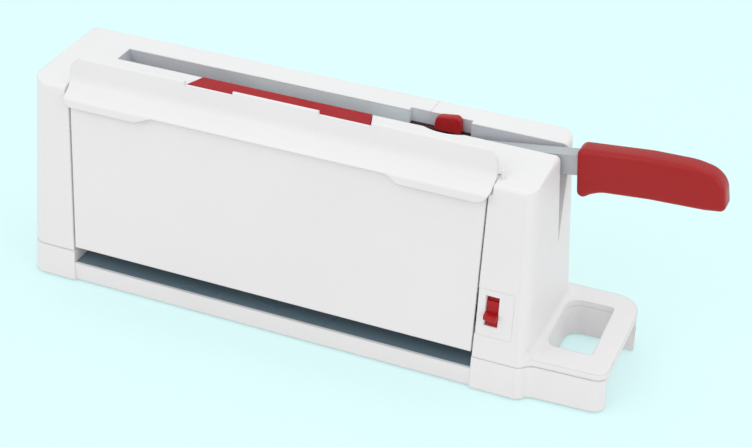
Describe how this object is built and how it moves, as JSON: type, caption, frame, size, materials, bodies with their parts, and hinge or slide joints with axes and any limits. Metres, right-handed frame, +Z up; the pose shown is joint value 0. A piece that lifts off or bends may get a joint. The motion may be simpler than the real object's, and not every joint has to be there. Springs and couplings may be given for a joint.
{
  "type": "stack paper cutter",
  "caption": "Upright stack paper cutter with a fold-down front panel, a top blade slot, a red lever, a press and a hand loop.",
  "frame": {"origin": "centre of the overall box in plan, at the underside of the feet, lever lowered", "axes": "+X to the right, the way the lever points; +Y to the rear; +Z up"},
  "size_m": [0.5419, 0.1162, 0.188],
  "materials": {
    "white": "fine satin moulding",
    "red": "satin moulding",
    "liner": "grey satin paint",
    "slate": "dark slate gloss coat",
    "stick": "plain",
    "steel": "bright",
    "arm": "light grey satin",
    "blade": "ground",
    "bronze": "plain",
    "alu": "extruded",
    "rubber": "matt",
    "maroon": "plain"
  },
  "bodies": {
    "housing": {"base_shell": "white", "left_housing": "white", "right_housing": "white", "slot_liner": "liner", "cutting_bed": "slate", "cutting_stick": "stick", "guide_rods": "steel", "lock_rail": "maroon", "latch_plate": "white", "stop_pin": "steel", "pivot_bolt": "steel", "pivot_nut": "steel", "rubber_feet": "rubber", "base_screws": "steel"},
    "lever": {"blade_arm": "arm", "pivot_bush": "bronze", "blade_carrier": "liner", "blade": "blade", "blade_screws": "steel", "lock_lug": "steel", "grip": "red"},
    "panel": {"front_panel": "white", "panel_hood": "white", "hinge_pins": "steel", "hood_screws": "steel"},
    "press": {"press_plate": "red", "press_yoke": "liner", "press_bar": "alu", "press_pad": "rubber"},
    "lock": {"lock_knob": "red"},
    "latch": {"latch_slide": "red"}
  },
  "joints": [
    {"name": "lever_swing", "type": "hinge", "parent": "housing", "child": "lever", "pos_m": [-0.24, 0.0241, 0.10709], "axis": [0, -1, 0], "range_deg": [0, 40]},
    {"name": "panel_fold", "type": "hinge", "parent": "housing", "child": "panel", "pos_m": [-0.058, -0.0479, 0.0345], "axis": [1, 0, 0], "range_deg": [0, 105]},
    {"name": "press_slide", "type": "slide", "parent": "housing", "child": "press", "axis": [0, 0, -1], "range_m": [0, 0.0145]},
    {"name": "lock_slide", "type": "slide", "parent": "housing", "child": "lock", "axis": [-1, 0, 0], "range_m": [0, 0.0185]},
    {"name": "latch_slide", "type": "slide", "parent": "housing", "child": "latch", "axis": [0, 0.1305, 0.9914], "range_m": [0, 0.008]}
  ]
}
